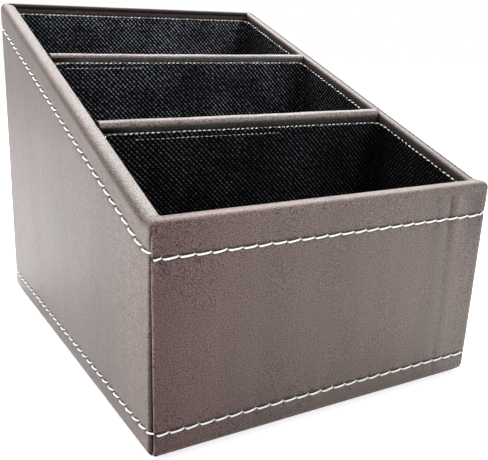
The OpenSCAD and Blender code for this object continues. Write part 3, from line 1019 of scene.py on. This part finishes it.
def tube(name, line, sides, radius_mm=1.0):
    """A closed tube along a line of points and radii, with a map "twist" along and round it."""
    path, radii = line[:, :3], line[:, 3] * radius_mm
    ahead = unit(np.gradient(path, axis=0))
    across = unit(np.cross([0, 1.0, 0], ahead))
    other = np.cross(ahead, across)
    turns = 2 * math.pi * np.arange(sides) / sides
    round_it = np.cos(turns)[None, :, None] * across[:, None] + np.sin(turns)[None, :, None] * other[:, None]
    rings = path[:, None] + radii[:, None, None] * round_it
    piece = make_object(name, rings, rod_faces(len(path), sides), None)
    mesh = piece.data
    layer = mesh.uv_layers.new(name="twist")
    for polygon in mesh.polygons:
        wraps = any(mesh.loops[i].vertex_index % sides == sides - 1 for i in polygon.loop_indices)
        for i in polygon.loop_indices:
            ring, k = divmod(mesh.loops[i].vertex_index, sides)
            share = k / sides if not (wraps and k == 0) else 1.0
            layer.data[i].uv = (ring / (len(path) - 1), share)
    tidy(piece, 0.0001)
    return piece


def holes_on_skin(holes, upper):
    """Points of the needle holes on the leather, and the way that each faces."""
    centre, _, side = round_the_box(holes)
    z = wall_z(centre, side, upper_depth(holes)) if upper else FOOT_Z + lower_height(holes)
    points, out = wall_surface(holes, z)
    outward = np.concatenate([out, np.zeros((len(out), 1))], -1)
    points = points - outward * 0.02
    if upper:
        # The row stops at the folded seam on one side and starts again a little lower on the other
        points[0] = (-HALF_W + 0.30, -HALF_D + 0.25, FRONT_H - 9.75)
        points[-1] = (-HALF_W + 0.25, -HALF_D + 0.95, FRONT_H - 8.95)
    else:
        # The last stitch of the left wall crosses the seam and ends beside the first one of the front
        points[0] = (-HALF_W + 1.55, -HALF_D + 0.10, points[1][2] + 0.1)
        points[-1] = (-HALF_W + 1.25, -HALF_D + 0.10, points[1][2] + 0.35)
    return points, outward


class ORGANIZER_OT_stitching(bpy.types.Operator):
    """Sews the row below the rim and the row above the foot, one thread piece for each stitch"""

    bl_idname = "organizer.stitching"
    bl_label = "Stitching"

    def execute(self, context):
        look = context.scene.organizer_stitch
        tree = row_tree("stitch_row")
        thread = make_thread()
        model = tube("stitch_model", STITCH, 8, look.radius / MM)
        for name, holes, upper, node, seed in (
            ("rim_stitches", UPPER_HOLES, True, "upper_stitching", look.seed),
            ("foot_stitches", LOWER_HOLES, False, "lower_stitching", look.seed + 1),
        ):
            points, outward = holes_on_skin(holes, upper)
            # Stitches on the front lie flatter than those on the other walls
            tilt = np.where(outward[:, 1] < -0.9, -math.radians(4.0), 0.0)
            piece = lay_row(name, points, outward, tilt, tree, Piece=model, Piece_length=STITCH_LENGTH * MM,
                            Gap=look.gap, Wander=look.wander, Seed=seed, Finish=thread)
            dress(piece, "thread", node)
        bpy.data.objects.remove(model)
        return {"FINISHED"}


# Divider caps

# For each divider, how far the rolled leather stands above its solid, and the tone of the leather at depths
# below the fold: paler where it bends as a painted highlight, and darker below as painted shade
CAPS = {
    "front_divider": {
        "raised": 0.45,
        "depths": (0, 0.5, 1.1, 1.5, 1.9, 2.3, 2.8),
        "tones": (-0.4, -0.7, -0.95, -0.4, 0.35, 0.62, 0.70),
    },
    "rear_divider": {
        "raised": 0.0,
        "depths": (0, 0.5, 0.9, 1.2, 1.6),
        "tones": (-0.5, -0.8, -0.45, 0.35, 0.60),
    },
}
# Gap between a cap's leather and its board, and number of rows on the leather's inner side
CAP_GAP = 0.03
CAP_INNER_ROWS = 4


def cap_round(half, radius):
    """Rounded upper outline of the leather over a divider board, seen from the side, round its top middle."""
    outer = []
    for middle, start in ((radius - half, math.pi), (half - radius, math.pi / 2)):
        for turn in np.linspace(start, start - math.pi / 2, 7):
            outer.append((middle + radius * math.cos(turn), radius * math.sin(turn) - radius))
    return outer


def hem_drop(x):
    """How much lower the leather and the cloth end on the front divider than on the rear one, at x."""
    return 0.25 + 0.75 * np.clip((x + INNER_X) / (2 * INNER_X), 0, 1)


def cap_grid(number, name, raised):
    """A cap's grid [column along the divider, row round it], with the rows of its inner side last."""
    low, high = node_box(name + "_cover")
    board_low, board_high = node_box(name + "_board")
    middle = (low[1] + high[1]) / 2
    half = (high[1] - low[1]) / 2
    board = (board_high[1] - board_low[1]) / 2 + CAP_GAP
    # Each row has its place across the divider and its height from the top, or None at an end of the leather
    flank = [(-half, None), (-half, -3.0), (-half, -2.5), (-half, -2.0)]
    outline = flank + cap_round(half, 1.55) + [(half, None)]
    inner = [(board, None), (board, -LEATHER + 0.05), (-board, -LEATHER + 0.05), (-board, None)]
    columns = np.linspace(low[0] + 0.06, high[0] - 0.06, 150)
    points = []
    for x in columns:
        arch = math.sin(math.pi * (x - columns[0]) / (columns[-1] - columns[0]))
        front_end = 0.8 - (hem_drop(x) if number == 0 else 0.0)
        for row, (across, up) in enumerate(outline + inner):
            in_front = across < 0
            y = middle + across
            end = float(rim_z(y, RIM_TURN - (front_end if in_front else 0.0))) + 0.02
            z = end if up is None else high[2] + up
            if row < len(outline):
                lump = noise.noise(Vector((x * 0.11, across * 0.3 + number * 7.7, z * 0.12)))
                ripple = noise.noise(Vector((x * 0.5, number * 3.1, across * 0.4)))
                shift = 0.22 * lump + 0.09 * ripple
                y -= 0.18 * arch * (1.0 if in_front else 0.35)
                y += -abs(shift) * 0.5 if in_front else shift * 0.2
                z += 0.0 if up is None else raised + shift * 0.6 - 0.16 * arch
            points.append((x, y, z))
    return np.array(points).reshape(len(columns), -1, 3)


def cap_shade(grid, fold_z, depths, tones):
    """Painted shade of a cap's leather, as the share by which it is darker: by the depth below its fold, and
    at both ends.
    """
    x = grid[:, 0, 0]
    tone = np.interp(fold_z - grid[..., 2], depths, tones)
    # Painted shade on the leather's inner side, and more of it towards the left end
    tone[:, -CAP_INNER_ROWS:] = 0.9
    tone += 0.25 * smooth_step(12.0, 2.0, x - x[0])[:, None] * (tone > 0.3)
    ends = smooth_step(0.55, 0.12, np.minimum(x - x[0], x[-1] - x))[:, None]
    return np.where(ends > 0.02, np.maximum(0.97 * ends, tone), tone)


class ORGANIZER_OT_divider_caps(bpy.types.Operator):
    """Folds the leather strips over the two divider boards, a little bowed between their ends"""

    bl_idname = "organizer.divider_caps"
    bl_label = "Divider caps"

    def execute(self, context):
        leather = make_leather("divider_leather", False)
        for number, (name, cap) in enumerate(CAPS.items()):
            grid = cap_grid(number, name, cap["raised"])
            piece = make_object(name + "_cap", grid, rod_faces(*grid.shape[:2]), leather)
            fold_z = node_box(name + "_cover")[1][2] + cap["raised"]
            set_attribute(piece.data, "fold_shade", cap_shade(grid, fold_z, cap["depths"], cap["tones"]))
            tidy(piece, 0.0005)
            dress(piece, "leather", name + "_cover")
        return {"FINISHED"}


# Pocket linings

# For each pocket, the share of painted light on its cloth, and the start, the end and the depth below the
# fold of the thread that is drawn out on its rear wall
POCKETS = {
    "front_pocket": {"light": 0.19, "drawn": (-44.5, 12.0, 1.95)},
    "middle_pocket": {"light": 0.56, "drawn": (-50.5, -20.0, 1.8)},
    "rear_pocket": {"light": 0.86, "drawn": None},
}
# Radius of the fold at the upper edge of the cloth, and height of the cloth's foot
HEM = 0.42
CLOTH_FOOT = INSIDE_Z + 0.02


def pocket_round(low, high, radius, step):
    """Points round a pocket from above, counter-clockwise, with the way into it and the length so far."""
    x0, x1, y0, y1 = low[0] + radius, high[0] - radius, low[1] + radius, high[1] - radius
    points, inward = [], []
    corners = (((x0, y0), 180), ((x1, y0), 270), ((x1, y1), 0), ((x0, y1), 90))
    for k, ((cx, cy), first) in enumerate(corners):
        for turn in np.radians(first + np.linspace(0, 90, 9)):
            points.append((cx + radius * math.cos(turn), cy + radius * math.sin(turn)))
            inward.append((-math.cos(turn), -math.sin(turn)))
        nx, ny = corners[(k + 1) % 4][0]
        turn = math.radians(first + 90)
        a = np.array(points[-1])
        b = np.array([nx + radius * math.cos(turn), ny + radius * math.sin(turn)])
        count = max(2, round(float(np.linalg.norm(b - a)) / step))
        for i in range(1, count):
            points.append(tuple(a + (b - a) * i / count))
            inward.append((-math.cos(turn), -math.sin(turn)))
    points, inward = np.array(points), np.array(inward)
    lengths = np.concatenate([[0], np.cumsum(np.linalg.norm(np.roll(points, -1, 0) - points, axis=1))])
    return points, inward, lengths


class Pocket:
    """The line round a pocket on the face of its cloth, with the height at which the cloth folds over."""

    def __init__(self, number, name):
        low, high = node_box(name + "_lining")
        low, self.high = low[:2] + LINING_T, high[:2] - LINING_T
        self.plan, self.inward, self.lengths = pocket_round(low, self.high, LINING_R, 0.9)
        self.wave = self.soft_noise(60, number * 4.1)
        self.fine = self.soft_noise(12, number * 2.3)
        drop = 0.10 + 0.16 * np.abs(self.wave) + 0.06 * np.abs(self.fine)
        # The cloth reaches higher on the divider that stands behind the front and the middle pocket
        lift = (0.85 - hem_drop(self.plan[:, 0]), 0.85, 0.0)[number]
        over_divider = lift * smooth_step(0.3, 1.0, -self.inward[:, 1])
        self.top = rim_z(self.plan[:, 1], RIM_TURN) - drop + over_divider

    def soft_noise(self, scale_mm, level):
        """Smooth noise from -1 to 1 round the pocket, which meets itself at the end."""
        turns = self.lengths[:-1] / self.lengths[-1] * 2 * math.pi
        circle = np.column_stack([np.cos(turns), np.sin(turns)]) * self.lengths[-1] / scale_mm
        return np.array([noise.noise(Vector((x, y, level))) for x, y in circle])

    def cloth_grid(self):
        """The cloth's closed grid [place, row], and the length of cloth up to each of its points."""
        rows, climb = [], []

        def add(plan, z, length):
            rows.append(np.column_stack([plan, z]))
            climb.append(length)

        for share in np.linspace(0, 1, 26):
            z = CLOTH_FOOT + (self.top - HEM - CLOTH_FOOT) * share
            belly = 0.30 * math.sin(math.pi * share) * (0.6 + 0.4 * self.wave) + 0.10 * self.fine * share
            add(self.plan + self.inward * np.clip(belly, -0.05, 0.45)[:, None], z, z)
        for turn in np.linspace(0, math.pi, 7)[1:-1]:
            reach = HEM * (1 - math.cos(turn)) * 0.8
            z = self.top - HEM + HEM * math.sin(turn)
            add(self.plan - self.inward * reach, z, z + reach)
        back = self.plan - self.inward * (LINING_T - 0.04)
        add(back, self.top - HEM, self.top)
        add(back, np.full(len(back), CLOTH_FOOT), self.top)
        return np.stack(rows, 1), np.stack(climb, 1)

    def map_cloth(self, mesh, climb):
        """Gives the cloth its map, with the length round the pocket and up the cloth in millimetres."""
        columns, rows = climb.shape
        index = np.empty(len(mesh.loops), np.int64)
        mesh.loops.foreach_get("vertex_index", index)
        column = index // rows
        # Faces between the last column and the first one end at the full length instead of at zero
        closing = np.repeat(column.reshape(-1, 4).max(1) == columns - 1, 4)
        across = np.where((column == 0) & closing, self.lengths[-1], self.lengths[column])
        layer = mesh.uv_layers.new(name="cloth")
        layer.data.foreach_set("uv", np.column_stack([across, climb.ravel()[index]]).ravel())

    def weave(self, light):
        """How much the weave's knots lean at each place, and how bright the painted highlights on its raised
        threads are.
        """
        lean = np.abs(self.inward[:, 1]) - 0.35 * np.abs(self.inward[:, 0])
        # Painted shade: the cloth is duller on the side walls and in the rear right corner
        to_corner = np.hypot(*(self.plan - self.high).T)
        bright = light * (0.45 + 0.55 * smooth_step(0.0, 0.9, np.abs(self.inward[:, 1])))
        bright *= 1 - 0.6 * bell(to_corner, 6.0)
        return {"weave_lean": lean, "weave_light": bright}

    def edge_points(self, spacing):
        """Evenly spaced points on the fold, and the way that each one faces."""
        places = np.arange(0, self.lengths[-1] - spacing * 0.6, spacing)
        line = np.column_stack([self.plan, self.top, self.inward])
        closed = np.vstack([line, line[:1]])
        x, y, z, in_x, in_y = (np.interp(places, self.lengths, values) for values in closed.T)
        facing = unit(np.column_stack([in_x, in_y, np.ones(len(x))]))
        return np.column_stack([x - in_x * 0.06, y - in_y * 0.06, z - 0.06]), facing

    def drawn_points(self, start, end, below, spacing):
        """Points below the fold on the rear wall, from the left to the right."""
        x = np.arange(start, end, spacing)
        on_rear = self.inward[:, 1] < -0.99
        z = np.interp(x, self.plan[on_rear, 0][::-1], self.top[on_rear][::-1]) - below
        return np.column_stack([x, np.full(len(x), self.high[1] - 0.04), z])


class ORGANIZER_OT_pocket_linings(bpy.types.Operator):
    """Makes the woven linings of the three pockets with their folded upper edges"""

    bl_idname = "organizer.pocket_linings"
    bl_label = "Pocket linings"

    def execute(self, context):
        cloth = make_cloth("black_woven_cloth", True)
        tree = row_tree("edge_threads", spread_tone=True)
        edge_model = tube("edge_thread_model", EDGE_THREAD, 6)
        drawn_model = tube("drawn_thread_model", DRAWN_THREAD, 6)
        spacing = 2 * context.scene.organizer_lining.across / MM
        shared = {"Piece_length": FLOAT_LENGTH * MM, "Finish": make_edge_thread()}
        for number, (name, look) in enumerate(POCKETS.items()):
            pocket = Pocket(number, name)
            grid, climb = pocket.cloth_grid()
            piece = make_object(name + "_cloth", grid, ring_faces(*climb.shape), cloth)
            pocket.map_cloth(piece.data, climb)
            for label, values in pocket.weave(look["light"]).items():
                set_attribute(piece.data, label, np.repeat(values, climb.shape[1]))
            tidy(piece, 0.0005)
            dress(piece, "cloth", name + "_lining")
            # Thread floats along the fold
            points, facing = pocket.edge_points(spacing)
            floats = lay_row(name + "_edge_threads", points, facing, 0.0, tree, Piece=edge_model,
                             Gap=0.70 * MM, Wander=0.45, Seed=11 + number, **shared)
            dress(floats, "cloth")
            # A weft thread that stands out below the fold on the rear wall
            if look["drawn"]:
                points = pocket.drawn_points(*look["drawn"], spacing * 0.96)
                facing = (0.0, -0.97, 0.24)
                drawn = lay_row(name + "_drawn_threads", points, facing, 0.0, tree, Piece=drawn_model,
                                Gap=0.55 * MM, Wander=0.25, Seed=31 + number, **shared)
                dress(drawn, "cloth")
        bpy.data.objects.remove(edge_model)
        bpy.data.objects.remove(drawn_model)
        return {"FINISHED"}


class ORGANIZER_OT_boards(bpy.types.Operator):
    """Gives the boards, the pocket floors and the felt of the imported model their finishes"""

    bl_idname = "organizer.boards"
    bl_label = "Boards, floors and felt"

    def execute(self, context):
        card = make_card()
        for board in ("front", "back", "left", "right", "base", "front_divider", "rear_divider"):
            repaint(board + "_board", card)
        cloth = make_cloth("black_floor_cloth", False)
        for pocket in POCKETS:
            repaint(pocket + "_floor", cloth)
        repaint("base_felt", make_felt())
        return {"FINISHED"}


# Stage

CAMERA_SHIFT = (0.1239, 0.0149)
FLOOR_REACH = 3000
BOX_MIDDLE = (0.0, 0.0, 0.05)
# Place and size of each lamp in metres, and its power in watts
LAMPS = {
    "top_left_softbox": ((-0.20, 0.28, 0.70), (0.8, 0.7), 7.0),
    "top_softbox": ((0.10, 0.20, 0.72), (0.8, 0.7), 5.4),
    "top_right_softbox": ((0.40, 0.25, 0.62), (0.7, 0.7), 7.2),
    "front_fill": ((0.52, -0.78, 0.35), (0.7, 0.5), 5.0),
    "left_fill": ((-0.85, -0.30, 0.42), (0.6, 0.6), 3.2),
    "low_back_softbox": ((0.35, 1.20, 0.25), (1.6, 0.4), 1.8),
}


def area_lamp(name, place, size, power):
    """A soft rectangular lamp that shines at the box and that the camera doesn't see."""
    data = bpy.data.lights.new(name, "AREA")
    data.shape = "RECTANGLE"
    data.size, data.size_y = size
    data.energy = power
    lamp = bpy.data.objects.new(name, data)
    lamp.location = place
    lamp.rotation_euler = (Vector(BOX_MIDDLE) - Vector(place)).to_track_quat("-Z", "Y").to_euler()
    lamp.visible_camera = False
    bpy.context.scene.collection.objects.link(lamp)


def is_looked_at(n):
    """1 for what the camera sees, also mirrored or through clear things, and 0 for what only gives light."""
    path = n.add("ShaderNodeLightPath").outputs
    return n.larger(n.larger(path["Is Camera Ray"], path["Is Glossy Ray"]), path["Is Transmission Ray"])


def make_floor(colour):
    """Pale floor that glows towards its far parts, for the camera only."""
    s = Shader("white_floor")
    plain = s.add("ShaderNodeBsdfDiffuse", Color=colour4(colour))
    away = s.add("ShaderNodeVectorMath", {"operation": "LENGTH"}, Vector=s.place()).outputs["Value"]
    glow = s.times(is_looked_at(s), s.ramp(away, 0.14, 0.60, 0.68, 1.0))
    white = s.add("ShaderNodeEmission", Color=(1.0, 1.0, 1.0, 1.0), Strength=glow)
    both = s.fill(s.add("ShaderNodeAddShader"), plain.outputs[0], white.outputs[0])
    s.put(s.out.inputs[0], both)
    return s.material


def white_room():
    """A world that is white where the camera sees it, and gives only a little light."""
    world = bpy.data.worlds.new("white_room")
    world.use_nodes = True
    world.node_tree.nodes.clear()
    n = Nodes(world.node_tree)
    strength = n.add("ShaderNodeMapRange", Value=is_looked_at(n), To_Min=0.04, To_Max=1.0).outputs[0]
    shine = n.add("ShaderNodeBackground", Color=(1.0, 1.0, 1.0, 1.0), Strength=strength)
    n.add("ShaderNodeOutputWorld", Surface=shine.outputs[0])
    return world


class ORGANIZER_OT_stage(bpy.types.Operator):
    """Sets up the camera, the pale floor, the white surroundings and the soft lamps"""

    bl_idname = "organizer.stage"
    bl_label = "Stage"

    def execute(self, context):
        scene = context.scene
        look = scene.organizer_stage
        data = bpy.data.cameras.new("camera")
        data.sensor_width = 36.0
        data.lens = look.lens
        data.shift_x, data.shift_y = CAMERA_SHIFT
        data.clip_start, data.clip_end = 0.01, 20.0
        camera = bpy.data.objects.new("camera", data)
        camera.location = look.camera_place
        camera.rotation_euler = Euler(look.camera_turn, "XYZ")
        scene.collection.objects.link(camera)
        scene.camera = camera
        r = FLOOR_REACH
        floor = make_object("floor", [(-r, -r, 0), (r, -r, 0), (r, r, 0), (-r, r, 0)], [(0, 1, 2, 3)],
                            make_floor(look.floor_colour), smooth=False)
        scene.world = white_room()
        for name, (place, size, power) in LAMPS.items():
            area_lamp(name, place, size, power)
        scene.view_settings.view_transform = "Standard"
        return {"FINISHED"}


class ORGANIZER_PT_panel(bpy.types.Panel):
    """Lists the pieces of the desk organizer box"""

    bl_idname = "ORGANIZER_PT_panel"
    bl_label = "Desk organizer box"
    bl_space_type = "VIEW_3D"
    bl_region_type = "UI"
    bl_category = "Organizer"

    def draw(self, context):
        layout = self.layout
        for group in ("organizer_leather", "organizer_stitch", "organizer_lining", "organizer_stage"):
            settings = getattr(context.scene, group)
            box = layout.box()
            for name in settings.bl_rna.properties.keys():
                if name not in ("rna_type", "name"):
                    box.prop(settings, name)
        for operator in STEPS:
            layout.operator(operator.bl_idname)


SETTINGS = {
    "organizer_leather": LeatherSettings,
    "organizer_stitch": StitchSettings,
    "organizer_lining": LiningSettings,
    "organizer_stage": StageSettings,
}
STEPS = (
    ORGANIZER_OT_stage,
    ORGANIZER_OT_leather_wrap,
    ORGANIZER_OT_stitching,
    ORGANIZER_OT_divider_caps,
    ORGANIZER_OT_pocket_linings,
    ORGANIZER_OT_boards,
)


def register():
    for kind in (*SETTINGS.values(), *STEPS, ORGANIZER_PT_panel):
        bpy.utils.register_class(kind)
    for name, kind in SETTINGS.items():
        setattr(bpy.types.Scene, name, PointerProperty(type=kind))


def unregister():
    for name in SETTINGS:
        delattr(bpy.types.Scene, name)
    for kind in reversed((*SETTINGS.values(), *STEPS, ORGANIZER_PT_panel)):
        bpy.utils.unregister_class(kind)


def main():
    register()
    bpy.ops.organizer.stage()
    bpy.ops.organizer.leather_wrap()
    bpy.ops.organizer.stitching()
    bpy.ops.organizer.divider_caps()
    bpy.ops.organizer.pocket_linings()
    bpy.ops.organizer.boards()


if __name__ == "__main__":
    main()
